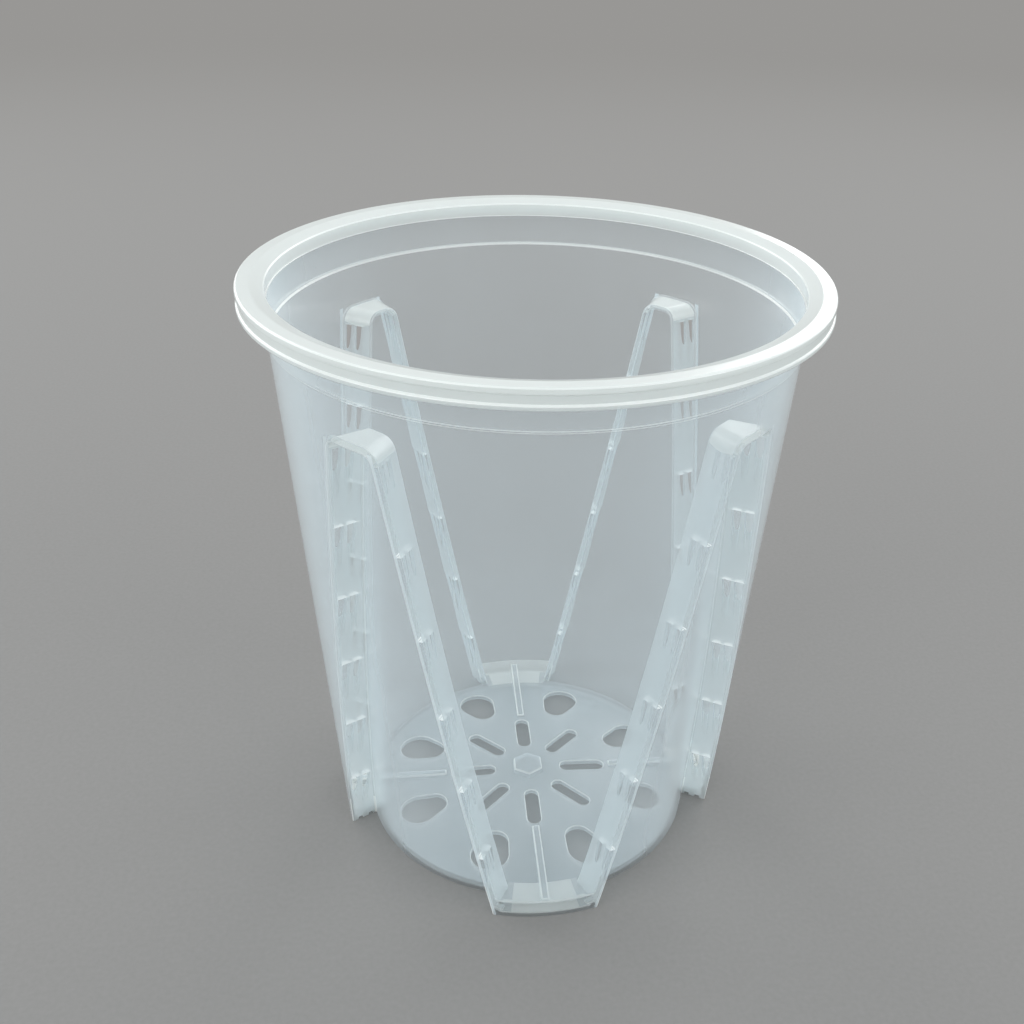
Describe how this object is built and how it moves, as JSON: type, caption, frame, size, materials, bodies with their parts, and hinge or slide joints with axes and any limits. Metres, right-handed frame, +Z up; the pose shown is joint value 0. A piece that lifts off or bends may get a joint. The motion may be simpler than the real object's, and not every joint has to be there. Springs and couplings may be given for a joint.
{
  "type": "orchid pot",
  "caption": "Clear tapered orchid pot on toes, with recessed walls slotted for air, a turned-down rim and a domed floor with drain holes.",
  "frame": {"origin": "centre of the circle on the ground that the toes stand on", "axes": "+Z up through the middle of the mouth; the toes point to +X, -X, +Y and -Y, and the toe nearest in the picture points to -Y"},
  "size_m": [0.12, 0.12, 0.1315],
  "materials": {
    "clear_plastic": "clear, slightly milky moulded polypropylene with a soft gloss"
  },
  "bodies": {
    "root": {"rim_lip": "clear_plastic", "rim_skirt": "clear_plastic", "rim_collar": "clear_plastic", "upper_wall": "clear_plastic", "wall_panel_front": "clear_plastic", "wall_panel_right": "clear_plastic", "wall_panel_back": "clear_plastic", "wall_panel_left": "clear_plastic", "recess_wall_front_right": "clear_plastic", "recess_wall_back_right": "clear_plastic", "recess_wall_back_left": "clear_plastic", "recess_wall_front_left": "clear_plastic", "recess_roof_front_right": "clear_plastic", "recess_roof_back_right": "clear_plastic", "recess_roof_back_left": "clear_plastic", "recess_roof_front_left": "clear_plastic", "slotted_wall_front_right": "clear_plastic", "slotted_wall_front_left": "clear_plastic", "slotted_wall_right_right": "clear_plastic", "slotted_wall_right_left": "clear_plastic", "slotted_wall_back_right": "clear_plastic", "slotted_wall_back_left": "clear_plastic", "slotted_wall_left_right": "clear_plastic", "slotted_wall_left_left": "clear_plastic", "floor_disc": "clear_plastic", "floor_knob": "clear_plastic", "toe_floor_front": "clear_plastic", "toe_floor_right": "clear_plastic", "toe_floor_back": "clear_plastic", "toe_floor_left": "clear_plastic", "floor_rib_front": "clear_plastic", "floor_rib_right": "clear_plastic", "floor_rib_back": "clear_plastic", "floor_rib_left": "clear_plastic"}
  },
  "joints": []
}
